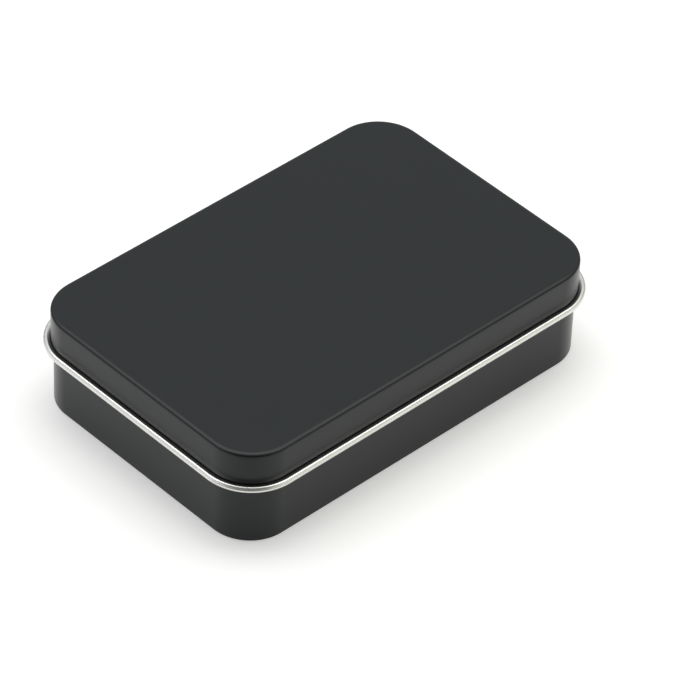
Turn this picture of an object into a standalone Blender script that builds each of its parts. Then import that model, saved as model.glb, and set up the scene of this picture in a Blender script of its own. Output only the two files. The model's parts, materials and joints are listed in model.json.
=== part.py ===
"""Card tin with a hinged lid, modelled as its separate pieces.

Both shells are pressed from thin sheet. The lid's skirt turns out into a short
level neck and ends in a bead rolled outwards, whose last run slopes gently down
and stops just short of the skirt. The two hinge wires lie in the bead at the
back. The base has a lanced knuckle round each wire, standing in a notch of the
lid's skirt, and its rim is rolled inwards.

Frame: X along the length, Y from the front to the hinge side, Z up, with the
origin under the middle of the base. Lengths are in metres.
"""

import bpy
import bmesh
from math import cos, pi, radians, sin, sqrt
from mathutils import Matrix, Vector

# Outside of the closed tin, measured over the lid's bead
TIN_LENGTH = 0.107
TIN_WIDTH = 0.073
TIN_HEIGHT = 0.025
BEAD_CORNER_RADIUS = 0.0125

# Stock
SHEET = 0.00025
WIRE_DIAMETER = 0.0009

# Lid
LID_DEPTH = 0.00865  # from the lid's top face down to the middle of its bead
LID_EDGE_REACH = 0.0012  # the panel rounds off over this width
LID_EDGE_DROP = 0.0006  # and this height
BEAD_DIAMETER = 0.00155
BEAD_NECK = 0.0004  # level run between the bend under the skirt and the roll
BEAD_END_ANGLE = radians(108)  # where the roll turns straight, above outwards
BEAD_LIP_GAP = 0.0001  # left open between the roll's cut edge and the skirt

# Base
BASE_EDGE_RADIUS = 0.0004
RIM_DIAMETER = 0.0015
RIM_END_ANGLE = radians(235)
RIM_HEADROOM = 0.0013  # from the rim up to the underside of the lid
SWING_CLEARANCE = 0.00007  # least gap as the lid's front swings past the rim

# Hinges
HINGE_WIRE_LENGTH = 0.022
WIRE_CORNER_GAP = 0.0015  # straight bead left between the wire and the tin's corner
WIRE_END_CHAMFER = 0.00015
KNUCKLE_WIDTH = 0.01
KNUCKLE_END_ANGLE = radians(150)
NOTCH_SIDE_CLEARANCE = 0.0003
NOTCH_HEADROOM = 0.0004  # above the knuckle
WINDOW_HEIGHT = 0.0046  # the blank that the knuckle was bent from
WINDOW_SILL = 0.0002  # above the knuckle's root
CUT_OVERRUN = 0.0005

# Faceting
CORNER_STEPS = 16
BEAD_STEPS = 22
NECK_STEPS = 6
RIM_STEPS = 10
EDGE_STEPS = 7
KNUCKLE_STEPS = 15
WIRE_SIDES = 24
SHARP_ANGLE = radians(40)

# Worked out from the sizes above
BEAD_RADIUS = BEAD_DIAMETER / 2
RIM_RADIUS = RIM_DIAMETER / 2
PIVOT_Y = TIN_WIDTH / 2 - BEAD_RADIUS
PIVOT_Z = TIN_HEIGHT - LID_DEPTH
HINGE_X = TIN_LENGTH / 2 - BEAD_CORNER_RADIUS - WIRE_CORNER_GAP - HINGE_WIRE_LENGTH / 2
RIM_TOP = TIN_HEIGHT - SHEET - RIM_HEADROOM
RIM_CENTRE_Z = RIM_TOP - RIM_RADIUS


def lid_gap():
    """Gap all round between the lid's skirt and the base's wall.

    The lid's front wall swings about the hinge at a fixed reach, so the base's
    wall, up to where its rim turns in, stays inside that reach.
    """
    reach = PIVOT_Y + TIN_WIDTH / 2 - BEAD_DIAMETER - BEAD_NECK
    rise = RIM_CENTRE_Z - PIVOT_Z
    return reach - sqrt((reach - SWING_CLEARANCE) ** 2 - rise ** 2)


# How far the skirt's and the base's faces lie outside the bead's outline
SKIRT_INSIDE = -BEAD_DIAMETER - BEAD_NECK
SKIRT_OUTSIDE = SKIRT_INSIDE + SHEET
WALL_OUTSIDE = SKIRT_INSIDE - lid_gap()
WALL_INSIDE = WALL_OUTSIDE - SHEET


def clear_scene():
    """Remove whatever objects the file holds."""
    for old in list(bpy.data.objects):
        bpy.data.objects.remove(old, do_unlink=True)


def metal(name, colour, roughness, metallic):
    """A Principled material with one colour, roughness and metallic value."""
    material = bpy.data.materials.new(name)
    material.use_nodes = True
    shader = material.node_tree.nodes["Principled BSDF"]
    shader.inputs["Base Color"].default_value = (*colour, 1)
    shader.inputs["Roughness"].default_value = roughness
    shader.inputs["Metallic"].default_value = metallic
    material.diffuse_color = (*colour, 1)
    return material


def add_object(name, bm, origin=(0, 0, 0), material=None):
    """Turn a mesh built in world coordinates into an object with its own origin."""
    bmesh.ops.recalc_face_normals(bm, faces=bm.faces)
    mesh = bpy.data.meshes.new(name)
    bm.to_mesh(mesh)
    bm.free()
    mesh.transform(Matrix.Translation(-Vector(origin)))
    mesh.shade_smooth()
    mesh.set_sharp_from_angle(angle=SHARP_ANGLE)
    if material:
        mesh.materials.append(material)
    item = bpy.data.objects.new(name, mesh)
    item.location = origin
    bpy.context.scene.collection.objects.link(item)
    return item


def helper(item):
    """Mark an object as a shape that only serves a Boolean."""
    item.hide_render = True
    item.display_type = "WIRE"
    return item


def add_boolean(item, operand, operation):
    """Cut or join another object with an exact Boolean."""
    modifier = item.modifiers.new(operand.name, "BOOLEAN")
    modifier.object = operand
    modifier.operation = operation
    modifier.solver = "EXACT"


def arc(centre_out, centre_up, radius, start, end, steps):
    """Points along a round bend of the sheet, as pairs of outwards and up."""
    return oval(centre_out, centre_up, radius, radius, start, end, steps)


def oval(centre_out, centre_up, reach, rise, start, end, steps):
    """Points along an elliptic bend of the sheet, as pairs of outwards and up."""
    turns = [start + (end - start) * i / steps for i in range(steps + 1)]
    return [(centre_out + reach * cos(a), centre_up + rise * sin(a)) for a in turns]


def outline(outset):
    """The tin's rounded rectangle, moved outwards from the bead's outline."""
    radius = BEAD_CORNER_RADIUS + outset
    across = TIN_LENGTH / 2 - BEAD_CORNER_RADIUS
    along = TIN_WIDTH / 2 - BEAD_CORNER_RADIUS
    points = []
    for quarter, (sign_x, sign_y) in enumerate(((1, 1), (-1, 1), (-1, -1), (1, -1))):
        for step in range(CORNER_STEPS + 1):
            turn = (quarter + step / CORNER_STEPS) * pi / 2
            points.append((sign_x * across + radius * cos(turn),
                           sign_y * along + radius * sin(turn)))
    return points


def pressed_shell(section):
    """Carry a section of outwards and up pairs round the outline, closed by two flat faces."""
    bm = bmesh.new()
    rings = []
    for outset, height in section:
        rings.append([bm.verts.new((x, y, height)) for x, y in outline(outset)])
    for lower, upper in zip(rings, rings[1:]):
        for i in range(len(lower)):
            j = (i + 1) % len(lower)
            bm.faces.new((lower[i], lower[j], upper[j], upper[i]))
    bm.faces.new(rings[0])
    bm.faces.new(rings[-1])
    return bm


def boxes(low, high):
    """One box at each hinge. X is measured from the middle of the hinge."""
    bm = bmesh.new()
    size = Vector(high) - Vector(low)
    for side in (-1, 1):
        middle = (Vector(low) + Vector(high)) / 2
        middle.x += side * HINGE_X
        place = Matrix.Translation(middle) @ Matrix.Diagonal((*size, 1))
        bmesh.ops.create_cube(bm, size=1, matrix=place)
    return bm


def lid_section():
    """Section of the lid from its top face, round the bead, to its underside."""
    bend_out = SKIRT_OUTSIDE - LID_EDGE_REACH
    bend_up = TIN_HEIGHT - LID_EDGE_DROP
    neck_out = -BEAD_RADIUS - BEAD_NECK
    bottom = 3 * pi / 2
    roll_end = 2 * pi + BEAD_END_ANGLE
    bore_radius = BEAD_RADIUS - SHEET
    top_edge = oval(bend_out, bend_up, LID_EDGE_REACH, LID_EDGE_DROP, pi / 2, 0, EDGE_STEPS)
    neck_bore = arc(neck_out, PIVOT_Z, bore_radius, pi, bottom, NECK_STEPS)
    bore = arc(-BEAD_RADIUS, PIVOT_Z, bore_radius, bottom, roll_end, BEAD_STEPS)
    roll = arc(-BEAD_RADIUS, PIVOT_Z, BEAD_RADIUS, roll_end, bottom, BEAD_STEPS)
    neck_roll = arc(neck_out, PIVOT_Z, BEAD_RADIUS, bottom, pi, NECK_STEPS)
    under_edge = oval(bend_out, bend_up, LID_EDGE_REACH - SHEET, LID_EDGE_DROP - SHEET,
                      0, pi / 2, EDGE_STEPS)
    run = (roll[0][0] - SKIRT_OUTSIDE - BEAD_LIP_GAP) / sin(BEAD_END_ANGLE)
    lip = [(out - run * sin(BEAD_END_ANGLE), up + run * cos(BEAD_END_ANGLE))
           for out, up in (bore[-1], roll[0])]
    return top_edge + neck_bore + bore + lip + roll + neck_roll + under_edge


def base_section():
    """Section of the base from its bottom face, over the rim, to its floor."""
    bend_out = WALL_OUTSIDE - BASE_EDGE_RADIUS
    rim_out = WALL_OUTSIDE - RIM_RADIUS
    foot = arc(bend_out, BASE_EDGE_RADIUS, BASE_EDGE_RADIUS, -pi / 2, 0, EDGE_STEPS)
    rim = arc(rim_out, RIM_CENTRE_Z, RIM_RADIUS, 0, RIM_END_ANGLE, RIM_STEPS)
    rim_bore = arc(rim_out, RIM_CENTRE_Z, RIM_RADIUS - SHEET, RIM_END_ANGLE, 0, RIM_STEPS)
    floor_edge = arc(bend_out, BASE_EDGE_RADIUS, BASE_EDGE_RADIUS - SHEET, 0, -pi / 2, EDGE_STEPS)
    return foot + rim + rim_bore + floor_edge


def lid_notches():
    """Cutter for the openings in the lid's back skirt, one round each knuckle."""
    half = KNUCKLE_WIDTH / 2 + NOTCH_SIDE_CLEARANCE
    low = (-half, TIN_WIDTH / 2 + SKIRT_INSIDE - CUT_OVERRUN, PIVOT_Z - BEAD_RADIUS - CUT_OVERRUN)
    high = (half, TIN_WIDTH / 2 + CUT_OVERRUN, PIVOT_Z + BEAD_RADIUS + NOTCH_HEADROOM)
    return helper(add_object("lid_notch_cutter", boxes(low, high)))


def base_windows():
    """Cutter for the openings that the knuckles were bent out of."""
    half = KNUCKLE_WIDTH / 2
    sill = PIVOT_Z - BEAD_RADIUS + SHEET + WINDOW_SILL
    low = (-half, TIN_WIDTH / 2 + WALL_INSIDE - CUT_OVERRUN, sill)
    high = (half, TIN_WIDTH / 2 + WALL_OUTSIDE + CUT_OVERRUN, sill + WINDOW_HEIGHT)
    return helper(add_object("base_window_cutter", boxes(low, high)))


def knuckles():
    """The two tongues that leave the base's wall and wrap round the wires."""
    root_out = WALL_OUTSIDE - SHEET / 2
    under = PIVOT_Z - BEAD_RADIUS
    outer = arc(-BEAD_RADIUS, PIVOT_Z, BEAD_RADIUS, -pi / 2, KNUCKLE_END_ANGLE, KNUCKLE_STEPS)
    inner = arc(-BEAD_RADIUS, PIVOT_Z, BEAD_RADIUS - SHEET, KNUCKLE_END_ANGLE, -pi / 2,
                KNUCKLE_STEPS)
    section = [(root_out, under)] + outer + inner + [(root_out, under + SHEET)]
    bm = bmesh.new()
    for side in (-1, 1):
        start = side * HINGE_X - KNUCKLE_WIDTH / 2
        rim = [bm.verts.new((start, TIN_WIDTH / 2 + out, up)) for out, up in section]
        face = bm.faces.new(rim)
        swept = bmesh.ops.extrude_face_region(bm, geom=[face], use_keep_orig=True)
        moved = [v for v in swept["geom"] if isinstance(v, bmesh.types.BMVert)]
        bmesh.ops.translate(bm, verts=moved, vec=(KNUCKLE_WIDTH, 0, 0))
    return helper(add_object("base_knuckle_tongues", bm))


def build_lid(coating):
    """The lid's shell, with its origin on the hinge axis."""
    lid = add_object("lid_shell", pressed_shell(lid_section()), (0, PIVOT_Y, PIVOT_Z), coating)
    add_boolean(lid, lid_notches(), "DIFFERENCE")
    return lid


def build_base(coating):
    """The base's shell with its windows and knuckles."""
    base = add_object("base_shell", pressed_shell(base_section()), material=coating)
    add_boolean(base, base_windows(), "DIFFERENCE")
    add_boolean(base, knuckles(), "UNION")
    return base


def build_wire(name, side, steel):
    """One hinge wire, chamfered at its ends, lying along X on the hinge axis."""
    bm = bmesh.new()
    radius = WIRE_DIAMETER / 2
    half = HINGE_WIRE_LENGTH / 2
    stations = ((-half, radius - WIRE_END_CHAMFER), (WIRE_END_CHAMFER - half, radius),
                (half - WIRE_END_CHAMFER, radius), (half, radius - WIRE_END_CHAMFER))
    centre = (side * HINGE_X, PIVOT_Y, PIVOT_Z)
    rings = []
    for shift, ring_radius in stations:
        turns = [2 * pi * i / WIRE_SIDES for i in range(WIRE_SIDES)]
        rings.append([bm.verts.new((centre[0] + shift,
                                    centre[1] + ring_radius * cos(a),
                                    centre[2] + ring_radius * sin(a))) for a in turns])
    for near, far in zip(rings, rings[1:]):
        for i in range(WIRE_SIDES):
            j = (i + 1) % WIRE_SIDES
            bm.faces.new((near[i], near[j], far[j], far[i]))
    bm.faces.new(rings[0])
    bm.faces.new(rings[-1])
    return add_object(name, bm, centre, steel)


def main():
    """Build the four pieces of the tin."""
    clear_scene()
    build_lid(metal("lid_coating", (0.042, 0.043, 0.043), 0.45, 0))
    build_base(metal("base_coating", (0.042, 0.043, 0.043), 0.45, 0))
    build_wire("hinge_wire_left", -1, metal("left_wire_steel", (0.6, 0.6, 0.58), 0.3, 1))
    build_wire("hinge_wire_right", 1, metal("right_wire_steel", (0.6, 0.6, 0.58), 0.3, 1))


main()
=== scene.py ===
"""Looks of the hinged card tin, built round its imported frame.

The lid and the base are pressings of coated sheet. Each is worked out as one
bent sheet: a section line gives the middle of the sheet, the tin's rounded
outline carries it round, and the two faces lie half a thickness to each side.
The outer face wears a black coating and the inner face is bare tinplate, so
the bead, which is rolled outwards, shows the bright side.
"""

import json
import logging
from dataclasses import dataclass, field
from enum import Enum, IntEnum
from math import cos, pi, radians, sin, tan

import bpy
import numpy as np
from bpy.types import ID, Material, Node, NodeSocket as Socket, NodeTree, Object
from mathutils import Matrix, Vector


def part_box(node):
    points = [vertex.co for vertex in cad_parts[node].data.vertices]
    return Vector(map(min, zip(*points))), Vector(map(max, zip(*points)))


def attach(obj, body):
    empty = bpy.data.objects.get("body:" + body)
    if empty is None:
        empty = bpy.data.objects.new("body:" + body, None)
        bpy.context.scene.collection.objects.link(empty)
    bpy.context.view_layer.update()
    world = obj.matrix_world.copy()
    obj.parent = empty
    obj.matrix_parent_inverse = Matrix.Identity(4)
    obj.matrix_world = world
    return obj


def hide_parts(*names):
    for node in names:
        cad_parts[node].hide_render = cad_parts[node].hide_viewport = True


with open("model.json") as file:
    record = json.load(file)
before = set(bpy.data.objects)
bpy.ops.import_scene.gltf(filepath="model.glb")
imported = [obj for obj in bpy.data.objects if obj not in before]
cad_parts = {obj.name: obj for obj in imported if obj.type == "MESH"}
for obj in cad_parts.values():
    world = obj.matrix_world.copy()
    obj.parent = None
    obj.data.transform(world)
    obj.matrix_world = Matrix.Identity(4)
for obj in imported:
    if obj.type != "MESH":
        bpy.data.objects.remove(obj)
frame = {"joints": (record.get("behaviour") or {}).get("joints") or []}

BoolArray = np.ndarray
FloatArray = np.ndarray
IntArray = np.ndarray
Pair = tuple[float, float]
Triple = tuple[float, float, float]
Colour = tuple[float, float, float]
Levels = tuple[tuple[float, Colour], ...]
Inputs = dict[str | int, object]

PHOTO_AZIMUTH = radians(-44.62)  # of the photograph's view; 0 looks along +Y
SHARP_ANGLE = radians(32)  # edges that bend further are shaded sharp
OUTWARDS, UPWARDS, DOWNWARDS = (1, 0), (0, 1), (0, -1)  # as outset and height
LIP_TURN = radians(78)  # how far round a rounded lip goes before its flat end
PANEL_RING_SHARES = (0.06, 0.3, 0.55, 0.75, 0.9, 0.97)  # of the way from middle to edge
STATION_DECIMALS = 9  # shares of a side that agree so far are one station
FACING_BACK = 0.999  # least Y of a normal on the straight back
NOISE_MIDDLE = (0.3, 0.7)  # where nearly all of a fractal noise lies

log = logging.getLogger("card_tin")


class Face(IntEnum):
    """Which face of the sheet a polygon lies on, as the mesh's material index."""

    COATED = 0
    BARE = 1
    CUT = 2


class Hinge(Enum):
    """The two hinges, by the side of the tin they stand on."""

    LEFT = -1
    RIGHT = 1

    @property
    def wire_node(self) -> str:
        """Name of the wire in the frame."""
        return f"hinge_wire_{self.name.lower()}"


@dataclass(frozen=True)
class TinSizes:
    """Sizes of the tin in metres. The outer ones come from the frame.

    An outset is a distance outwards from the outline of the lid's bead, so
    every other surface of the tin has a negative one.
    """

    half_length: float
    half_width: float
    height: float
    pivot_y: float
    pivot_z: float
    rim_top: float
    wall_outset: float
    hinge_x: float
    sheet: float = 0.00025
    bead_corner_radius: float = 0.0125
    bead_neck: float = 0.0004
    bead_end_angle: float = radians(108)
    bead_lip_gap: float = 0.0001
    lid_edge_reach: float = 0.0012
    lid_edge_drop: float = 0.0006
    base_edge_radius: float = 0.0004
    rim_radius: float = 0.00075
    rim_end_angle: float = radians(235)
    knuckle_width: float = 0.01
    knuckle_end_angle: float = radians(150)
    knuckle_bend_radius: float = 0.00035
    notch_side_gap: float = 0.0003
    notch_headroom: float = 0.0004
    window_top: float = 0.0206

    @classmethod
    def from_frame(cls) -> "TinSizes":
        """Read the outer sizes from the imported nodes.

        Returns:
            The sizes, with the inner ones at their defaults.
        """
        _, lid_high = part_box("lid_shell")
        _, base_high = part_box("base_shell")
        wire_low, wire_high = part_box(Hinge.RIGHT.wire_node)
        hinge = frame["joints"][0]["pos_m"]
        half_length = round(lid_high.x, 5)
        return cls(
            half_length=half_length,
            half_width=round(lid_high.y, 5),
            height=round(lid_high.z, 6),
            pivot_y=hinge[1],
            pivot_z=hinge[2],
            rim_top=round(base_high.z, 5),
            wall_outset=base_high.x - half_length,
            hinge_x=(wire_low.x + wire_high.x) / 2,
        )

    @property
    def bead_radius(self) -> float:
        """Outer radius of the rolled bead."""
        return self.half_width - self.pivot_y

    @property
    def skirt_outset(self) -> float:
        """Outset of the middle of the lid's skirt."""
        return self.sheet / 2 - 2 * self.bead_radius - self.bead_neck

    @property
    def wall_middle_outset(self) -> float:
        """Outset of the middle of the base's wall."""
        return self.wall_outset - self.sheet / 2

    @property
    def knuckle_sill(self) -> float:
        """Height at which a knuckle's tongue starts to bend out of the wall."""
        leaf = self.pivot_z - self.bead_radius + self.sheet / 2
        return leaf - self.knuckle_bend_radius

    @property
    def notch_top(self) -> float:
        """Height of the top of the lid's hinge notches."""
        return self.pivot_z + self.bead_radius + self.notch_headroom

    def openings(self, side_gap: float) -> list[Pair]:
        """Lowest and highest X of each hinge's opening, a gap wider than its knuckle."""
        half = self.knuckle_width / 2 + side_gap
        return [(h.value * self.hinge_x - half, h.value * self.hinge_x + half) for h in Hinge]


@dataclass(frozen=True)
class Section:
    """Middle line of a bent sheet, one row for each point.

    The columns are outset, height, the unit normal's outwards and upwards
    parts, which points to the coated face, and the share of the sheet's
    thickness left at that point, which falls towards a rounded lip.
    """

    rows: FloatArray

    @staticmethod
    def straight(start: Pair, end: Pair, normal: Pair, steps: int) -> "Section":
        """A flat run of the sheet.

        Args:
            start: Outset and height of the first point.
            end: Outset and height of the last point.
            normal: Direction of the coated face.
            steps: Number of steps.

        Returns:
            The run, as start + share * (end - start).
        """
        shares = np.linspace(0, 1, steps + 1)
        first, last = np.array(start), np.array(end)
        points = first + np.outer(shares, last - first)
        normals = np.tile(np.array(normal, float), (len(shares), 1))
        return Section(np.column_stack([points, normals, np.ones(len(shares))]))

    @staticmethod
    def bend(centre: Pair, radius: float, start: float, end: float, steps: int,
             coated_outside: bool) -> "Section":
        """A round bend of the sheet.

        Args:
            centre: Outset and height of the bend's axis.
            radius: Radius of the sheet's middle.
            start: First angle, where 0 is outwards and a quarter turn is up.
            end: Last angle.
            steps: Number of steps.
            coated_outside: True if the coated face is on the far side of the axis.

        Returns:
            The bend, as centre + radius * (cos angle, sin angle).
        """
        angles = np.linspace(start, end, steps + 1)
        spokes = np.column_stack([np.cos(angles), np.sin(angles)])
        points = np.array(centre) + radius * spokes
        normals = spokes if coated_outside else -spokes
        return Section(np.column_stack([points, normals, np.ones(len(angles))]))

    @staticmethod
    def shoulder(centre: Pair, reach: float, drop: float, steps: int) -> "Section":
        """A flattened bend from level to upright, coated on the outside.

        Args:
            centre: Outset and height of the bend's axis.
            reach: Half width of its ellipse, along the outset.
            drop: Half height of its ellipse.
            steps: Number of steps.

        Returns:
            The bend, as centre + (reach * cos angle, drop * sin angle), with
            normals along (drop * cos angle, reach * sin angle).
        """
        angles = np.linspace(pi / 2, 0, steps + 1)
        spokes = np.column_stack([np.cos(angles), np.sin(angles)])
        points = np.array(centre) + spokes * (reach, drop)
        normals = spokes * (drop, reach)
        normals /= np.linalg.norm(normals, axis=1, keepdims=True)
        return Section(np.column_stack([points, normals, np.ones(len(angles))]))

    def then(self, other: "Section") -> "Section":
        """Join a run that starts where this one ends."""
        return Section(np.vstack([self.rows, other.rows[1:]]))

    def with_lip(self, sheet: float, steps: int = 4) -> "Section":
        """Round off the sheet's cut end.

        Args:
            sheet: Thickness of the sheet.
            steps: Number of rows in the rounding.

        Returns:
            The section with rows at end + half sheet * sin(angle) along its
            tangent, where the thickness falls as cos(angle).
        """
        tangent = self.rows[-1, :2] - self.rows[-2, :2]
        tangent /= np.linalg.norm(tangent)
        angles = np.linspace(0, LIP_TURN, steps + 1)[1:]
        points = self.rows[-1, :2] + sheet / 2 * np.outer(np.sin(angles), tangent)
        normals = np.tile(self.rows[-1, 2:4], (steps, 1))
        lip = np.column_stack([points, normals, np.cos(angles)])
        return Section(np.vstack([self.rows, lip]))

    def faces(self, sheet: float) -> tuple[FloatArray, FloatArray]:
        """Outset and height of the coated and the bare face at each row.

        Args:
            sheet: Thickness of the sheet.

        Returns:
            The middle line plus, and less, half the thickness left along its normal.
        """
        half = sheet / 2 * self.rows[:, 4:5] * self.rows[:, 2:4]
        return self.rows[:, :2] + half, self.rows[:, :2] - half

    def lengths(self) -> FloatArray:
        """Distance of each row from the first, along the section."""
        steps = np.linalg.norm(np.diff(self.rows[:, :2], axis=0), axis=1)
        return np.concatenate([[0.0], np.cumsum(steps)])


@dataclass(frozen=True)
class Outline:
    """The tin's rounded rectangle as a core point and an outward normal for each station.

    A point of the tin at some outset is core + (corner radius + outset) * normal.
    The stations run anticlockwise from the right end of the back.
    """

    half_length: float
    half_width: float
    corner_radius: float
    back_stops: tuple[float, ...]
    corner_steps: int = 32
    side_steps: int = 12

    @classmethod
    def of_tin(cls, sizes: TinSizes, spans: list[Pair]) -> "Outline":
        """The bead's outline, with stations at both ends of each opening."""
        stops = tuple(x for span in spans for x in span)
        return cls(sizes.half_length, sizes.half_width, sizes.bead_corner_radius, stops)

    def stations(self) -> tuple[FloatArray, FloatArray]:
        """Work out all stations.

        Returns:
            Core points and unit normals, each of shape (stations, 2).
        """
        corner = np.array([self.half_length, self.half_width]) - self.corner_radius
        signs = np.array([[1, 1], [-1, 1], [-1, -1], [1, -1]])
        cores, normals = [], []
        for quarter in range(4):
            angles = (quarter + np.linspace(0, 1, self.corner_steps + 1)) * pi / 2
            cores.append(np.tile(corner * signs[quarter], (len(angles), 1)))
            normals.append(np.column_stack([np.cos(angles), np.sin(angles)]))
            shares = np.linspace(0, 1, self.side_steps + 1)[1:-1]
            if quarter == 0:
                stops = (corner[0] - np.array(self.back_stops)) / (2 * corner[0])
                shares = np.unique(np.concatenate([shares, stops]).round(STATION_DECIMALS))
            first, last = corner * signs[quarter], corner * signs[(quarter + 1) % 4]
            cores.append(first + np.outer(shares, last - first))
            normals.append(np.tile(normals[-1][-1], (len(shares), 1)))
        return np.vstack(cores), np.vstack(normals)

    def lengths(self) -> FloatArray:
        """Measure the way round the bead.

        Returns:
            Distance of each station from the first, with the full way round last.
        """
        cores, normals = self.stations()
        points = cores + self.corner_radius * normals
        steps = np.linalg.norm(np.roll(points, -1, axis=0) - points, axis=1)
        return np.concatenate([[0.0], np.cumsum(steps)])


@dataclass(frozen=True)
class SheetGrid:
    """The two faces of a bent sheet as grids of points, rows along the section.

    Attributes:
        coated: Points of the coated face, of shape (rows, stations, 3).
        bare: Points of the bare face, of the same shape.
        keep: For each cell of the grid, False where the sheet is cut away.
        along: Length along the outline at each station, one more if it closes.
        down: Length along the section at each row.
        flat_rows: Rows of cells, from the first, that make up the flat panel.
        closed: True if the last station joins the first and the first row is
            filled by a flat face on each side.
    """

    coated: FloatArray
    bare: FloatArray
    keep: BoolArray
    along: FloatArray
    down: FloatArray
    flat_rows: int
    closed: bool

    @property
    def points(self) -> FloatArray:
        """All points, those of the coated face first."""
        return np.vstack([self.coated.reshape(-1, 3), self.bare.reshape(-1, 3)])

    def _cuts(self, places: IntArray) -> IntArray:
        """Find the edges of the grid between a kept cell and a missing one.

        Args:
            places: Number of the place at each row and station.

        Returns:
            The places at both ends of each edge, in the order of its wall.
        """
        inside, beside = self.keep[:1] & self.closed, self.keep[:, -1:] & self.closed
        across = np.stack([places[:, 1:], places[:, :-1]], axis=-1)
        down = np.stack([places[:-1], places[1:]], axis=-1)
        edges = []
        for ends, before, after in (
            (across, np.vstack([inside, self.keep]),
             np.vstack([self.keep, np.zeros_like(inside)])),
            (down, np.hstack([beside, self.keep]), np.hstack([self.keep, beside])),
        ):
            edges += [ends[after & ~before], ends[before & ~after][:, ::-1]]
        return np.vstack(edges)

    def polygons(self) -> tuple[list[list[int]], IntArray, FloatArray]:
        """Faces of the closed sheet: both sides, the cut edges and the flat caps.

        The grid has a place for each row and station, and a closed one has its
        first station again at the end. A cell gives one polygon on each side. An
        edge between a kept cell and a missing one gives a wall from the coated
        side to the bare.

        Returns:
            Polygons as vertex numbers, their Face, and their corners' marks: the
            lengths along the outline and down the section, or X and Y on the panel.
        """
        stations = self.coated.shape[1]
        row, column = np.arange(len(self.down))[:, None], np.arange(len(self.along))
        vertices = (row * stations + column % stations).ravel()
        places = row * len(column) + column
        cells = np.stack([places[:-1, :-1], places[:-1, 1:], places[1:, 1:], places[1:, :-1]], -1)
        sides, cuts = cells[self.keep], self._cuts(places)
        quads = np.vstack([sides, sides[:, (0, 3, 2, 1)] + places.size,
                           np.hstack([cuts, cuts[:, ::-1] + places.size])])
        kinds = np.repeat([Face.COATED, Face.BARE, Face.CUT], [len(sides), len(sides), len(cuts)])
        on_bare, quads = quads >= places.size, quads % places.size
        marks = np.stack(np.meshgrid(self.along, self.down), axis=-1).reshape(-1, 2)[quads]
        flat = np.zeros(len(quads), bool)
        flat[:2 * len(sides)] = np.tile(np.nonzero(self.keep)[0] < self.flat_rows, 2)
        marks[flat] = self.points[vertices[quads[flat]], :2]
        faces = vertices[quads] + on_bare * len(row) * stations
        turned = self._points_inwards(faces[0])
        if turned:
            faces, marks = faces[:, ::-1], marks[:, ::-1]
        polygons, marks = faces.tolist(), marks.reshape(-1, 2)
        if self.closed:
            outer = np.arange(stations)[::1 if turned else -1]
            inner = outer[::-1] + len(row) * stations
            polygons += [outer.tolist(), inner.tolist()]
            kinds = np.append(kinds, [Face.COATED, Face.BARE])
            marks = np.vstack([marks, self.points[outer, :2], self.points[inner, :2]])
        return polygons, kinds, marks

    def _points_inwards(self, quad: IntArray) -> bool:
        """Find out which way a polygon of the coated face looks.

        Args:
            quad: Its vertex numbers.

        Returns:
            True if its normal points to the bare face.
        """
        first, second, _, last = self.points[quad]
        thickness = first - self.bare.reshape(-1, 3)[quad[0]]
        return float(np.cross(second - first, last - first) @ thickness) < 0

    def build(self, name: str, finishes: list[Material]) -> Object:
        """Make the sheet an object.

        Args:
            name: Name of the piece.
            finishes: Materials for the coated face, the bare face and the cut edges.

        Returns:
            The new object, at the origin.
        """
        polygons, kinds, marks = self.polygons()
        used, numbers = np.unique(np.concatenate(polygons), return_inverse=True)
        ends = np.cumsum([len(polygon) for polygon in polygons])
        faces = [part.tolist() for part in np.split(numbers, ends[:-1])]
        return mesh_object(name, self.points[used], faces, kinds, marks, finishes)


def new_object(name: str, data: ID) -> Object:
    """Make an object and link it to the scene.

    Args:
        name: Name of the object.
        data: Its mesh, lamp or camera.

    Returns:
        The new object, at the origin.
    """
    made = bpy.data.objects.new(name, data)
    bpy.context.scene.collection.objects.link(made)
    return made


def mesh_object(name: str, points: FloatArray, faces: list[list[int]], kinds: IntArray,
                marks: FloatArray, finishes: list[Material]) -> Object:
    """Put points and faces into a smooth mesh object at the origin.

    Args:
        name: Name of the piece.
        points: Vertices of shape (n, 3).
        faces: Polygons as vertex numbers.
        kinds: Material index of each polygon.
        marks: Place in metres along and across the grain, for the UV map.
        finishes: The materials, in the order of their index.

    Returns:
        The new object.
    """
    mesh = bpy.data.meshes.new(name)
    mesh.from_pydata(points.tolist(), [], faces)
    for finish in finishes:
        mesh.materials.append(finish)
    mesh.polygons.foreach_set("material_index", np.asarray(kinds, np.int32))
    layer = mesh.uv_layers.new(name="lengths")
    layer.data.foreach_set("uv", np.asarray(marks, np.float32).ravel())
    mesh.shade_smooth()
    mesh.set_sharp_from_angle(angle=SHARP_ANGLE)
    mesh.validate()
    return new_object(name, mesh)


def cut_cells(section: Section, outline: Outline, spans: list[Pair], heights: Pair) -> BoolArray:
    """Mark the cells of a pressing that openings in its back leave.

    Args:
        section: The pressing's section.
        outline: The tin's outline.
        spans: Lowest and highest X of each opening.
        heights: Lowest and highest height of the openings.

    Returns:
        True where the sheet stays and False where it is cut.
    """
    cores, normals = outline.stations()
    middle_x = (cores[:, 0] + np.roll(cores[:, 0], -1)) / 2
    facing = normals[:, 1] > FACING_BACK
    at_back = facing & np.roll(facing, -1)
    in_span = np.zeros(len(cores), bool)
    for low, high in spans:
        in_span |= at_back & (middle_x > low) & (middle_x < high)
    middle_z = (section.rows[:-1, 1] + section.rows[1:, 1]) / 2
    return ~np.outer((middle_z > heights[0]) & (middle_z < heights[1]), in_span)


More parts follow.
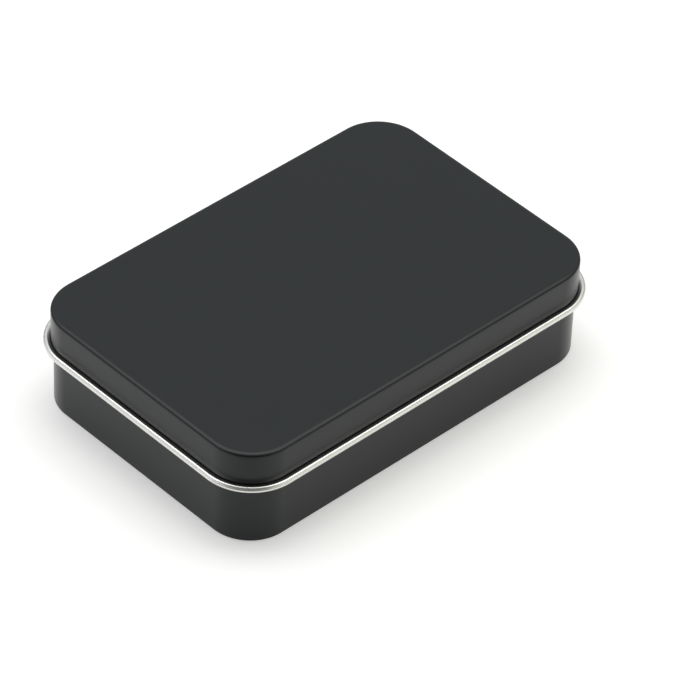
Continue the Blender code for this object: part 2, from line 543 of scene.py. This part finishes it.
def pressing(section: Section, sizes: TinSizes, side_gap: float, heights: Pair) -> SheetGrid:
    """Carry a section round the tin and fill the panel inside its first ring.

    Each face is core + (corner radius + outset) * normal at its height, with the
    outset and height of the section's face. The panel's rings are the first ring
    drawn towards the middle by the panel shares.

    Args:
        section: Middle line, from the panel's edge to the rolled end.
        sizes: The tin's sizes.
        side_gap: How far each opening for a hinge reaches past its knuckle.
        heights: Lowest and highest height of these openings.

    Returns:
        The grid of both faces.
    """
    spans = sizes.openings(side_gap)
    outline = Outline.of_tin(sizes, spans)
    cores, normals = outline.stations()
    shares = np.array(PANEL_RING_SHARES)
    sides = []
    for place in section.faces(sizes.sheet):
        flat = cores + (outline.corner_radius + place[:, 0, None, None]) * normals
        height = np.broadcast_to(place[:, 1, None, None], flat.shape[:2] + (1,))
        ring = np.concatenate([flat, height], axis=2)
        panel = np.repeat(ring[:1], len(shares), axis=0)
        panel[:, :, :2] *= shares[:, None, None]
        sides.append(np.concatenate([panel, ring]))
    whole = np.ones((len(shares), len(cores)), bool)
    keep = np.vstack([whole, cut_cells(section, outline, spans, heights)])
    edge = np.abs(sides[0][len(shares), :, 1]).max()
    down = np.concatenate([edge * (shares - 1), section.lengths()])
    return SheetGrid(*sides, keep, outline.lengths(), down, flat_rows=len(shares), closed=True)


class Nodes:
    """Short calls for building a material's node tree.

    A node's inputs are given by their names or numbers, each with the socket that
    feeds it or with its value. A colour is given without its alpha.
    """

    def __init__(self, tree: NodeTree) -> None:
        """Start from an empty tree."""
        self.tree = tree
        self.tree.nodes.clear()

    def add(self, kind: str, inputs: Inputs | None = None, **settings: object) -> Node:
        """Add a node.

        Args:
            kind: Type of the node.
            inputs: Its inputs.
            **settings: Its properties.

        Returns:
            The node.
        """
        node = self.tree.nodes.new(kind)
        for name, value in settings.items():
            setattr(node, name, value)
        for name, value in (inputs or {}).items():
            socket = node.inputs[name]
            if isinstance(value, Socket):
                self.tree.links.new(value, socket)
            else:
                socket.default_value = (*value, 1) if socket.type == "RGBA" else value
        return node

    def noise(self, vector: Socket, scale: float, detail: float = 3.0) -> Socket:
        """Fractal noise at a vector, with so many features for each unit and so many octaves."""
        inputs = {"Vector": vector, "Scale": scale, "Detail": detail}
        return self.add("ShaderNodeTexNoise", inputs).outputs["Fac"]

    def stretched(self, vector: Socket, scale: Triple) -> Socket:
        """A vector with each of its axes scaled."""
        return self.add("ShaderNodeMapping", {"Vector": vector, "Scale": scale}).outputs["Vector"]

    def spread(self, value: Socket, low: float, high: float) -> Socket:
        """Carry the middle of a noise's range onto low to high."""
        ends = dict(zip(("From Min", "From Max", "To Min", "To Max"), (*NOISE_MIDDLE, low, high)))
        return self.add("ShaderNodeMapRange", {"Value": value, **ends}).outputs["Result"]

    def mix(self, share: Socket, first: Socket | Colour, second: Socket | Colour,
            blend: str = "MIX") -> Socket:
        """Lay a second colour over the first by a share, in one of the Mix node's ways."""
        inputs = {"Factor": share, "A": first, "B": second}
        return self.add("ShaderNodeMix", inputs, data_type="RGBA",
                        blend_type=blend).outputs["Result"]

    def bump(self, height: Socket, depth: float) -> Socket:
        """Turn a height from 0 to 1 into a normal, for a relief of some depth in metres."""
        return self.add("ShaderNodeBump", {"Height": height, "Distance": depth}).outputs["Normal"]

    def math(self, operation: str, first: Socket, second: Socket | float,
             clamp: bool = False) -> Socket:
        """Join two values by an operation, and keep the result from 0 to 1 if clamped."""
        return self.add("ShaderNodeMath", {0: first, 1: second}, operation=operation,
                        use_clamp=clamp).outputs[0]

    def shader(self, **values: object) -> Node:
        """Add the Principled shader, joined to the output.

        Args:
            **values: Its inputs, named with underscores for the spaces.

        Returns:
            The shader node.
        """
        inputs = {name.replace("_", " "): value for name, value in values.items()}
        shader = self.add("ShaderNodeBsdfPrincipled", inputs)
        self.add("ShaderNodeOutputMaterial", {"Surface": shader.outputs["BSDF"]})
        return shader


def new_material(name: str) -> tuple[Material, Nodes]:
    """Make a material with an empty tree.

    Args:
        name: Name of the material.

    Returns:
        The material and its nodes.
    """
    material = bpy.data.materials.new(name)
    material.use_nodes = True
    return material, Nodes(material.node_tree)


@dataclass(frozen=True)
class BlackCoating:
    """Satin black lacquer baked onto the sheet.

    Two close blacks drift over some millimetres, the gloss drifts with them,
    and a fine grain of tenths of a millimetre breaks up the reflections.
    """

    dark: Colour = (0.0045, 0.0048, 0.0053)
    light: Colour = (0.0060, 0.0064, 0.0071)
    gloss: Pair = (0.275, 0.295)
    drift_scale: float = 140.0
    grain_scale: float = 6500.0
    grain_depth: float = 1.2e-6
    refraction: float = 1.381
    shine: Colour = (0.945, 0.995, 1.0)

    def material(self) -> Material:
        """Build the finish.

        Returns:
            The new material.
        """
        material, nodes = new_material("black_coating")
        place = nodes.add("ShaderNodeTexCoord").outputs["Object"]
        drift = nodes.noise(place, self.drift_scale)
        grain = nodes.noise(place, self.grain_scale, detail=2.0)
        nodes.shader(Base_Color=nodes.mix(drift, self.dark, self.light), Metallic=0.0,
                     Roughness=nodes.spread(drift, *self.gloss), IOR=self.refraction,
                     Specular_Tint=self.shine, Normal=nodes.bump(grain, self.grain_depth))
        return material


@dataclass(frozen=True)
class BareTinplate:
    """Bright tinplate, the sheet's uncoated side.

    Streaks vary the gloss and give a very shallow relief. On the flat panels they
    run along the length, as the mill rolled them. On the walls and the bead, which
    the dies have drawn and rolled, they follow the outline.
    """

    dull: Colour = (0.64, 0.635, 0.61)
    bright: Colour = (0.75, 0.745, 0.72)
    gloss: Pair = (0.21, 0.29)
    streak_scale: Triple = (60.0, 9000.0, 1.0)
    streak_depth: float = 2.5e-7
    cloud_scale: float = 260.0

    def material(self) -> Material:
        """Build the finish.

        Returns:
            The new material.
        """
        material, nodes = new_material("bare_tinplate")
        coordinates = nodes.add("ShaderNodeTexCoord")
        lengths = nodes.stretched(coordinates.outputs["UV"], self.streak_scale)
        streaks = nodes.noise(lengths, 1.0)
        clouds = nodes.noise(coordinates.outputs["Object"], self.cloud_scale)
        nodes.shader(Base_Color=nodes.mix(clouds, self.dull, self.bright), Metallic=1.0,
                     Roughness=nodes.spread(streaks, *self.gloss),
                     Normal=nodes.bump(streaks, self.streak_depth))
        return material


@dataclass(frozen=True)
class CutEdge:
    """Raw edge of the sheet, where the shears broke through steel and tin."""

    steel: Colour = (0.36, 0.35, 0.34)
    tin: Colour = (0.62, 0.61, 0.59)
    gloss: Pair = (0.3, 0.5)
    grain_scale: float = 7000.0
    grain_depth: float = 3e-6

    def material(self) -> Material:
        """Build the finish.

        Returns:
            The new material.
        """
        material, nodes = new_material("cut_edge")
        place = nodes.add("ShaderNodeTexCoord").outputs["Object"]
        grain = nodes.noise(place, self.grain_scale)
        nodes.shader(Base_Color=nodes.mix(grain, self.steel, self.tin), Metallic=1.0,
                     Roughness=nodes.spread(grain, *self.gloss),
                     Normal=nodes.bump(grain, self.grain_depth))
        return material


@dataclass(frozen=True)
class DrawnWire:
    """Steel hinge wire with fine lines along its length from the drawing die."""

    dark: Colour = (0.42, 0.41, 0.40)
    light: Colour = (0.62, 0.61, 0.59)
    gloss: Pair = (0.22, 0.38)
    line_scale: Triple = (90.0, 9000.0, 9000.0)
    line_depth: float = 1.5e-6

    def material(self) -> Material:
        """Build the finish.

        Returns:
            The new material.
        """
        material, nodes = new_material("drawn_wire")
        place = nodes.add("ShaderNodeTexCoord").outputs["Object"]
        lines = nodes.noise(nodes.stretched(place, self.line_scale), 1.0)
        nodes.shader(Base_Color=nodes.mix(lines, self.dark, self.light), Metallic=1.0,
                     Roughness=nodes.spread(lines, *self.gloss),
                     Normal=nodes.bump(lines, self.line_depth))
        return material


@dataclass
class Finishes:
    """The tin's materials, made once and shared by its pieces."""

    coating: Material = field(default_factory=lambda: BlackCoating().material())
    tinplate: Material = field(default_factory=lambda: BareTinplate().material())
    edge: Material = field(default_factory=lambda: CutEdge().material())
    wire: Material = field(default_factory=lambda: DrawnWire().material())

    @property
    def sheet(self) -> list[Material]:
        """Materials of a coated sheet, in the order of Face."""
        return [self.coating, self.tinplate, self.edge]


@dataclass
class LidShell:
    """The lid: a flat panel, a skirt and a bead rolled outwards, with two hinge notches."""

    sizes: TinSizes
    edge_steps: int = 20
    skirt_steps: int = 7
    notch_steps: int = 2
    neck_steps: int = 14
    level_steps: int = 2
    roll_steps: int = 44
    last_steps: int = 4

    def section(self) -> Section:
        """Work out the middle line of the sheet.

        Returns:
            The section from the panel's edge to the end of the roll.
        """
        s = self.sizes
        half_sheet = s.sheet / 2
        bend_up = s.height - s.lid_edge_drop
        edge = Section.shoulder((s.skirt_outset + half_sheet - s.lid_edge_reach, bend_up),
                                s.lid_edge_reach - half_sheet, s.lid_edge_drop - half_sheet,
                                self.edge_steps)
        upper = Section.straight((s.skirt_outset, bend_up), (s.skirt_outset, s.notch_top),
                                 OUTWARDS, self.skirt_steps)
        lower = Section.straight((s.skirt_outset, s.notch_top), (s.skirt_outset, s.pivot_z),
                                 OUTWARDS, self.notch_steps)
        radius = s.bead_radius - half_sheet
        neck = Section.bend((-s.bead_radius - s.bead_neck, s.pivot_z), radius, pi, 3 * pi / 2,
                            self.neck_steps, False)
        level = Section.straight((-s.bead_radius - s.bead_neck, s.pivot_z - radius),
                                 (-s.bead_radius, s.pivot_z - radius), UPWARDS,
                                 self.level_steps)
        roll = Section.bend((-s.bead_radius, s.pivot_z), radius, 3 * pi / 2,
                            2 * pi + s.bead_end_angle, self.roll_steps, False)
        out, up, *normal = roll.rows[-1, :4]
        end_out = s.skirt_outset + s.sheet + s.bead_lip_gap
        end_up = up + (out - end_out) / tan(s.bead_end_angle)
        last = Section.straight((out, up), (end_out, end_up), tuple(normal), self.last_steps)
        section = edge.then(upper).then(lower).then(neck).then(level).then(roll).then(last)
        return section.with_lip(s.sheet)

    def build(self, finishes: Finishes) -> Object:
        """Make the lid and set it on its body.

        Args:
            finishes: The tin's materials.

        Returns:
            The new piece.
        """
        s = self.sizes
        grid = pressing(self.section(), s, s.notch_side_gap, (0, s.notch_top))
        lid = grid.build("lid", finishes.sheet)
        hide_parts("lid_shell")
        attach(lid, "lid")
        return lid


@dataclass
class BaseShell:
    """The base: a flat bottom, a straight wall and a rim rolled inwards, with two windows."""

    sizes: TinSizes
    foot_steps: int = 12
    wall_steps: int = 5
    rim_steps: int = 36

    def section(self) -> Section:
        """Work out the middle line of the sheet.

        Returns:
            The section from the bottom's edge to the end of the rim.
        """
        s = self.sizes
        wall = s.wall_middle_outset
        bend_out = s.wall_outset - s.base_edge_radius
        rim_centre = s.rim_top - s.rim_radius
        section = Section.bend((bend_out, s.base_edge_radius), s.base_edge_radius - s.sheet / 2,
                               -pi / 2, 0, self.foot_steps, True)
        heights = (s.base_edge_radius, s.knuckle_sill, s.window_top, rim_centre)
        for low, high in zip(heights, heights[1:]):
            section = section.then(
                Section.straight((wall, low), (wall, high), OUTWARDS, self.wall_steps))
        rim = Section.bend((s.wall_outset - s.rim_radius, rim_centre), s.rim_radius - s.sheet / 2,
                           0, s.rim_end_angle, self.rim_steps, True)
        return section.then(rim).with_lip(s.sheet)

    def build(self, finishes: Finishes) -> Object:
        """Make the base and set it on its body.

        Args:
            finishes: The tin's materials.

        Returns:
            The new piece.
        """
        s = self.sizes
        grid = pressing(self.section(), s, 0, (s.knuckle_sill, s.window_top))
        base = grid.build("base", finishes.sheet)
        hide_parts("base_shell")
        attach(base, "base")
        return base


@dataclass
class HingeParts:
    """One hinge: the tongue bent out of the base's wall, and the wire it wraps."""

    sizes: TinSizes
    side: Hinge
    bend_steps: int = 10
    flat_steps: int = 3
    wrap_steps: int = 40
    width_steps: int = 8
    wire_sides: int = 48
    chamfer: float = 0.00015
    chamfer_steps: int = 4

    def tongue_section(self) -> Section:
        """Work out the middle line of the tongue.

        Returns:
            The section from the window's sill outwards and round the wire.
        """
        s = self.sizes
        wall, bend = s.wall_middle_outset, s.knuckle_bend_radius
        leaf = s.knuckle_sill + bend
        turn = Section.bend((wall + bend, s.knuckle_sill), bend, pi, pi / 2,
                            self.bend_steps, False)
        flat = Section.straight((wall + bend, leaf), (-s.bead_radius, leaf), DOWNWARDS,
                                self.flat_steps)
        wrap = Section.bend((-s.bead_radius, s.pivot_z), s.bead_radius - s.sheet / 2, -pi / 2,
                            s.knuckle_end_angle, self.wrap_steps, True)
        return turn.then(flat).then(wrap).with_lip(s.sheet)

    def tongue(self, finishes: Finishes) -> Object:
        """Make the knuckle: the section moved along X by the tongue's width.

        Args:
            finishes: The tin's materials.

        Returns:
            The new piece.
        """
        s = self.sizes
        section = self.tongue_section()
        across = np.linspace(-0.5, 0.5, self.width_steps + 1) * s.knuckle_width
        xs = self.side.value * s.hinge_x + across
        faces = []
        for place in section.faces(s.sheet):
            shape = (len(place), len(xs))
            faces.append(np.stack([
                np.broadcast_to(xs, shape),
                np.broadcast_to(s.half_width + place[:, :1], shape),
                np.broadcast_to(place[:, 1:], shape),
            ], axis=-1))
        keep = np.ones((len(section.rows) - 1, len(xs) - 1), bool)
        grid = SheetGrid(*faces, keep, across - across[0], section.lengths(), flat_rows=0,
                         closed=False)
        piece = grid.build(f"knuckle_{self.side.name.lower()}", finishes.sheet)
        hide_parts("base_shell")
        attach(piece, "base")
        return piece

    def wire(self, finishes: Finishes) -> Object:
        """Make the wire: a ring of radius r(x) turned about the hinge axis.

        The radius is the wire's own, less a quarter-round chamfer at each end.

        Args:
            finishes: The tin's materials.

        Returns:
            The new piece.
        """
        s = self.sizes
        low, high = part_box(self.side.wire_node)
        radius = (high.z - low.z) / 2
        turn = np.linspace(0, pi / 2, self.chamfer_steps + 1)
        inset = self.chamfer * (1 - np.sin(turn))
        drop = self.chamfer * (1 - np.cos(turn))
        x = np.concatenate([low.x + inset[::-1], high.x - inset])
        r = np.concatenate([radius - drop[::-1], radius - drop])
        angle = np.linspace(0, 2 * pi, self.wire_sides, endpoint=False)
        grid = np.stack([
            np.broadcast_to(x[:, None], (len(x), len(angle))),
            s.pivot_y + r[:, None] * np.cos(angle),
            s.pivot_z + r[:, None] * np.sin(angle),
        ], axis=-1)
        number = np.arange(grid.shape[0] * grid.shape[1]).reshape(grid.shape[:2])
        ahead = np.roll(number, -1, axis=1)
        quads = np.stack([number[:-1], ahead[:-1], ahead[1:], number[1:]], -1).reshape(-1, 4)
        faces = quads.tolist() + [number[0][::-1].tolist(), number[-1].tolist()]
        points = grid.reshape(-1, 3)
        order = np.concatenate(faces)
        marks = np.column_stack([points[order, 0], points[order, 2]])
        piece = mesh_object(f"wire_{self.side.name.lower()}", points, faces,
                            np.zeros(len(faces)), marks, [finishes.wire])
        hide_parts(self.side.wire_node)
        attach(piece, "base")
        return piece

    def build(self, finishes: Finishes) -> list[Object]:
        """Make both pieces of the hinge."""
        return [self.tongue(finishes), self.wire(finishes)]


@dataclass(frozen=True)
class Studio:
    """Pale floor, a pale room that is dark behind the camera, and one long softbox overhead.

    A dark card of painted shade lies on the floor towards the camera. It shows in reflections
    alone and casts no shadow, so it paints a darker reflection of the floor in front into the
    tin.
    The room's colour follows the height of the direction, from the horizon to
    straight up. Behind the tin the lower part is greyer, to the right the room
    is warmer, and its dark side fades in as the direction nears dark_towards.
    The softbox hangs a little beyond the tin, across the camera's line of sight.
    """

    floor_half: float = 3.0
    floor_drop: float = 0.00002
    floor_contact: float = 0.00006
    floor_colour: Colour = (0.85, 0.845, 0.83)
    floor_lift: float = 0.33
    front_levels: Levels = (
        (0.0, (0.92, 0.94, 0.96)),
        (0.45, (0.92, 0.94, 0.96)),
        (0.625, (0.88, 0.91, 0.94)),
        (0.70, (0.50, 0.51, 0.51)),
        (1.0, (0.54, 0.54, 0.54)),
    )
    back_levels: Levels = (
        (0.0, (0.44, 0.46, 0.48)),
        (0.42, (0.50, 0.53, 0.56)),
        (0.53, (0.94, 0.98, 1.0)),
        (0.64, (0.95, 1.0, 1.0)),
        (0.73, (0.60, 0.62, 0.62)),
        (1.0, (0.54, 0.54, 0.54)),
    )
    back_towards: Triple = (0.7, 0.71, 0.0)
    back_shares: Pair = (0.2, 0.65)
    warm_towards: Triple = (0.71, -0.7, 0.0)
    warm_shares: Pair = (0.0, 0.7)
    warm_tint: Colour = (1.0, 1.0, 0.89)
    dark_towards: Triple = (-0.55, -0.55, 0.62)
    dark_shares: Pair = (0.62, 0.90)
    dark_level: float = 0.22
    # Card of painted shade, seen only in reflections, that darkens the bead's reflection of the
    # floor in front
    painted_shade_azimuth: float = PHOTO_AZIMUTH
    painted_shade_reach: Pair = (0.092, 0.7)
    painted_shade_half: float = 0.3
    painted_shade_height: float = 0.0005
    painted_shade_level: float = 0.02
    backdrop: Colour = (1.0, 1.0, 1.0)
    lamp_sides: Pair = (1.5, 0.75)
    lamp_place: Triple = (0.18, 0.24, 1.0)
    lamp_turn: float = radians(-45)
    lamp_power: float = 7.5

    @staticmethod
    def _card(name: str, corners: list[Triple], material: Material) -> Object:
        """Make a flat card of the stage.

        Args:
            name: Name of the card.
            corners: Its four corners, anticlockwise from above.
            material: What it is made of.

        Returns:
            The card.
        """
        mesh = bpy.data.meshes.new(name)
        mesh.from_pydata(corners, [], [(0, 1, 2, 3)])
        mesh.materials.append(material)
        card = new_object(name, mesh)
        return card

    def floor(self) -> Object:
        """Make the floor, which the camera and reflections see a little lifted towards white.

        It is clear from below and where the tin touches it, so that the tin's
        underside shows in a view from below.

        Returns:
            The floor.
        """
        material, nodes = new_material("pale_floor")
        painted = nodes.add("ShaderNodeBsdfPrincipled", {
            "Base Color": self.floor_colour, "Roughness": 1.0, "Specular IOR Level": 0.0,
            "Emission Color": (1, 1, 1),
            "Emission Strength": nodes.math("MULTIPLY", self._seen(nodes), self.floor_lift),
        })
        clear = nodes.add("ShaderNodeBsdfTransparent")
        length = nodes.add("ShaderNodeLightPath").outputs["Ray Length"]
        touching = nodes.math("LESS_THAN", length, self.floor_contact)
        below = nodes.add("ShaderNodeNewGeometry").outputs["Backfacing"]
        sides = nodes.add("ShaderNodeMixShader", {
            0: nodes.math("MAXIMUM", below, touching),
            1: painted.outputs["BSDF"], 2: clear.outputs["BSDF"],
        })
        nodes.add("ShaderNodeOutputMaterial", {"Surface": sides.outputs["Shader"]})
        h, z = self.floor_half, -self.floor_drop
        return self._card("floor", [(-h, -h, z), (h, -h, z), (h, h, z), (-h, h, z)], material)

    def flag(self) -> Object:
        """Lay the card of painted shade: a dark sheet seen in reflections alone, which paints a
        darker reflection on the lower half of the bead at the front corner.

        The camera does not see it, and it casts no shadow and lights nothing. It reaches from
        near to far along its azimuth, and as far to each side as its half width.

        Returns:
            The flag.
        """
        material, nodes = new_material("dark_flag")
        nodes.shader(Base_Color=(self.painted_shade_level,) * 3, Roughness=1.0, Specular_IOR_Level=0.0)
        along = Vector((sin(self.painted_shade_azimuth), -cos(self.painted_shade_azimuth), 0))
        aside = along.cross(Vector((0, 0, 1))) * self.painted_shade_half
        lift = Vector((0, 0, self.painted_shade_height))
        near, far = (along * reach + lift for reach in self.painted_shade_reach)
        corners = [tuple(c) for c in (near - aside, near + aside, far + aside, far - aside)]
        flag = self._card("flag", corners, material)
        # Painted shade: only reflections see this dark card; it casts no shadow and blocks no
        # light
        flag.visible_camera = flag.visible_diffuse = flag.visible_shadow = False
        return flag

    @staticmethod
    def _seen(nodes: Nodes) -> Socket:
        """Tell the rays that see the floor as the camera does.

        Args:
            nodes: The floor's nodes.

        Returns:
            Socket with 1 for rays from the camera, from a reflection or through
            glass, and 0 for others.
        """
        path = nodes.add("ShaderNodeLightPath").outputs
        opaque = nodes.math("ADD", path["Is Camera Ray"], path["Is Glossy Ray"])
        return nodes.math("ADD", opaque, path["Is Transmission Ray"], clamp=True)

    @staticmethod
    def _levels(nodes: Nodes, height: Socket, levels: Levels) -> Socket:
        """Colour a direction by its height.

        Args:
            nodes: The world's nodes.
            height: Height of the direction, from 0 to 1.
            levels: Heights and their colours, from the lowest.

        Returns:
            The colour's socket.
        """
        ramp = nodes.add("ShaderNodeValToRGB", {"Fac": height})
        stops = ramp.color_ramp.elements
        while len(stops) < len(levels):
            stops.new(1.0)
        for stop, (place, colour) in zip(stops, levels):
            stop.position = place
            stop.color = (*colour, 1)
        return ramp.outputs["Color"]

    @staticmethod
    def _share(nodes: Nodes, direction: Socket, towards: Triple, shares: Pair) -> Socket:
        """How far a direction lies towards another, smoothly from 0 to 1.

        Args:
            nodes: The world's nodes.
            direction: Direction that is looked at.
            towards: Direction that it is compared with.
            shares: Cosines of the angles at which the result is 0 and 1.

        Returns:
            The result's socket.
        """
        vectors = {0: direction, 1: Vector(towards).normalized()}
        nearness = nodes.add("ShaderNodeVectorMath", vectors, operation="DOT_PRODUCT")
        ends = {"Value": nearness.outputs["Value"], "From Min": shares[0], "From Max": shares[1]}
        share = nodes.add("ShaderNodeMapRange", ends, interpolation_type="SMOOTHSTEP")
        return share.outputs["Result"]

    def room(self) -> None:
        """Make the world: white to the camera, while the tin reflects the room itself."""
        world = bpy.data.worlds.new("studio_room")
        bpy.context.scene.world = world
        world.use_nodes = True
        nodes = Nodes(world.node_tree)
        direction = nodes.add("ShaderNodeTexCoord").outputs["Generated"]
        height = nodes.add("ShaderNodeSeparateXYZ", {"Vector": direction}).outputs["Z"]
        front = self._levels(nodes, height, self.front_levels)
        back = self._levels(nodes, height, self.back_levels)
        behind = self._share(nodes, direction, self.back_towards, self.back_shares)
        warm = self._share(nodes, direction, self.warm_towards, self.warm_shares)
        dark = self._share(nodes, direction, self.dark_towards, self.dark_shares)
        seen = nodes.add("ShaderNodeLightPath").outputs["Is Camera Ray"]
        colour = nodes.mix(behind, front, back)
        colour = nodes.mix(warm, colour, self.warm_tint, "MULTIPLY")
        colour = nodes.mix(dark, colour, (self.dark_level,) * 3)
        colour = nodes.mix(seen, colour, self.backdrop)
        light = nodes.add("ShaderNodeBackground", {"Color": colour})
        nodes.add("ShaderNodeOutputWorld", {"Surface": light.outputs["Background"]})

    def lamp(self) -> Object:
        """Hang the softbox over the tin, facing straight down.

        Returns:
            The lamp.
        """
        data = bpy.data.lights.new("overhead_softbox", "AREA")
        data.shape = "RECTANGLE"
        data.size, data.size_y = self.lamp_sides
        data.energy = self.lamp_power
        lamp = new_object("overhead_softbox", data)
        lamp.location = self.lamp_place
        lamp.rotation_euler.z = self.lamp_turn
        return lamp

    def build(self) -> None:
        """Make the whole set."""
        self.floor()
        # dark card of painted shade, seen only in reflections
        self.flag()
        self.room()
        self.lamp()


@dataclass(frozen=True)
class PhotoCamera:
    """The camera of the photograph, fitted to the tin's edges.

    The azimuth is 0 for a look along +Y and turns towards +X. The camera
    looks along its own axis and is rolled about it.
    """

    azimuth: float = PHOTO_AZIMUTH
    elevation: float = radians(41.14)
    roll: float = radians(2.43)
    distance: float = 1.0697
    pan_right: float = 0.00735
    pan_up: float = -0.00548
    focal_pixels: float = 4923.0
    image_pixels: float = 700.0
    sensor: float = 36.0
    clip: Pair = (0.1, 20.0)

    def build(self, target: Vector) -> Object:
        """Place the camera so that its axis passes beside the target by the two pans.

        Args:
            target: Middle of the tin.

        Returns:
            The scene's camera.
        """
        back = Vector((sin(self.azimuth) * cos(self.elevation),
                       -cos(self.azimuth) * cos(self.elevation), sin(self.elevation)))
        level = (-back).cross(Vector((0, 0, 1))).normalized()
        upright = level.cross(-back)
        right = cos(self.roll) * level + sin(self.roll) * upright
        up = cos(self.roll) * upright - sin(self.roll) * level
        data = bpy.data.cameras.new("photo_camera")
        data.sensor_width = self.sensor
        data.lens = self.focal_pixels / self.image_pixels * self.sensor
        data.clip_start, data.clip_end = self.clip
        camera = new_object("photo_camera", data)
        place = target + back * self.distance + right * self.pan_right + up * self.pan_up
        axes = Matrix((right, up, back)).transposed().to_4x4()
        camera.matrix_world = Matrix.Translation(place) @ axes
        bpy.context.scene.camera = camera
        return camera


def main() -> None:
    """Build the tin, its studio and its camera."""
    logging.basicConfig(level=logging.INFO, format="%(message)s")
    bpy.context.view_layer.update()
    sizes = TinSizes.from_frame()
    finishes = Finishes()
    pieces = [LidShell(sizes).build(finishes), BaseShell(sizes).build(finishes)]
    for side in Hinge:
        pieces += HingeParts(sizes, side).build(finishes)
    for piece in pieces:
        log.info("%s: %d faces", piece.name, len(piece.data.polygons))
    Studio().build()
    PhotoCamera().build(Vector((0, 0, sizes.height / 2)))
    scene = bpy.context.scene
    scene.view_settings.view_transform = "Standard"


if __name__ == "__main__":
    main()
